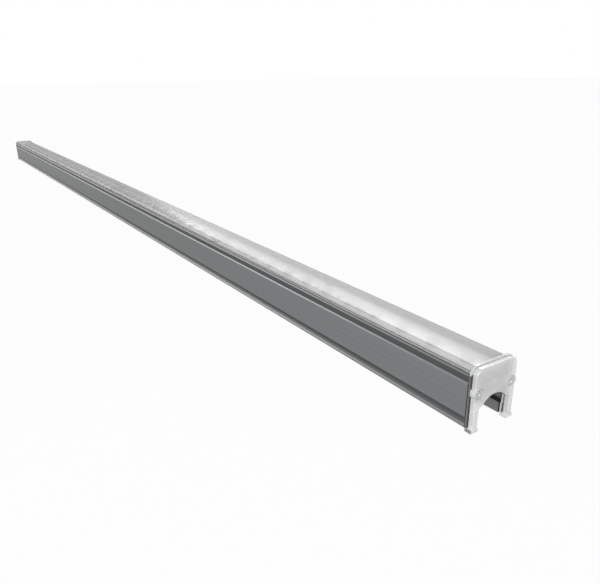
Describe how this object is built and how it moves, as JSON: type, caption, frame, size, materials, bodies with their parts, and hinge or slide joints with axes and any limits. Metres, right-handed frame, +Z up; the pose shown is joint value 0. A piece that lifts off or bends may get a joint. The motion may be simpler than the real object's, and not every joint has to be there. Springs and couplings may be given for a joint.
{
  "type": "linear wall washer light",
  "caption": "Slim linear outdoor light: a grooved aluminium channel profile with a milky cover along its top and translucent arched end caps, over a row of small lenses.",
  "frame": {"origin": "centre of the bounding box's base: on the plane of the four feet, midway between the end caps", "axes": "+X along the light towards the end nearer the camera in the picture, +Y across it, +Z up through the milky cover, the way the light leaves"},
  "size_m": [1, 0.026, 0.03],
  "materials": {
    "anodised_aluminium": "satin anodised extrusion with fine lengthwise drawing lines",
    "milky_plastic": "extruded milky diffusing plastic, smooth and slightly glossy",
    "seal_rubber": "thin extruded dark rubber strip",
    "cap_plastic": "moulded translucent plastic, glossy on its edges",
    "gasket_silicone": "die-cut dark grey silicone sheet",
    "screw_steel": "bright stainless steel with a cross recess",
    "board_white": "aluminium-core board with a white solder mask",
    "led_package": "moulded white package with a pale round window",
    "lens_clear": "clear moulded lens",
    "chip_plastic": "black moulded driver chip with tinned leads",
    "capacitor_ceramic": "ceramic chip capacitor with tinned ends",
    "resistor_ceramic": "chip resistor with tinned ends",
    "link_plastic": "low black board-to-board connector",
    "board_screw_steel": "blackened flat-head screw",
    "tape_grey": "grey thermal transfer tape"
  },
  "bodies": {
    "root": {"housing_extrusion": "anodised_aluminium", "diffuser_cover": "milky_plastic", "cover_seal_front": "seal_rubber", "cover_seal_back": "seal_rubber", "end_cap_right": "cap_plastic", "end_cap_left": "cap_plastic", "end_gasket_right": "gasket_silicone", "end_gasket_left": "gasket_silicone", "end_cap_screws_right": "screw_steel", "end_cap_screws_left": "screw_steel", "driver_chips": "chip_plastic", "buffer_capacitors": "capacitor_ceramic", "current_resistors": "resistor_ceramic", "board_links": "link_plastic", "board_screws": "board_screw_steel", "thermal_tape_front": "tape_grey", "thermal_tape_back": "tape_grey", "led_board_1": "board_white", "leds_board_1": "led_package", "lenses_board_1": "lens_clear", "led_board_2": "board_white", "leds_board_2": "led_package", "lenses_board_2": "lens_clear", "led_board_3": "board_white", "leds_board_3": "led_package", "lenses_board_3": "lens_clear", "led_board_4": "board_white", "leds_board_4": "led_package", "lenses_board_4": "lens_clear"}
  },
  "joints": []
}
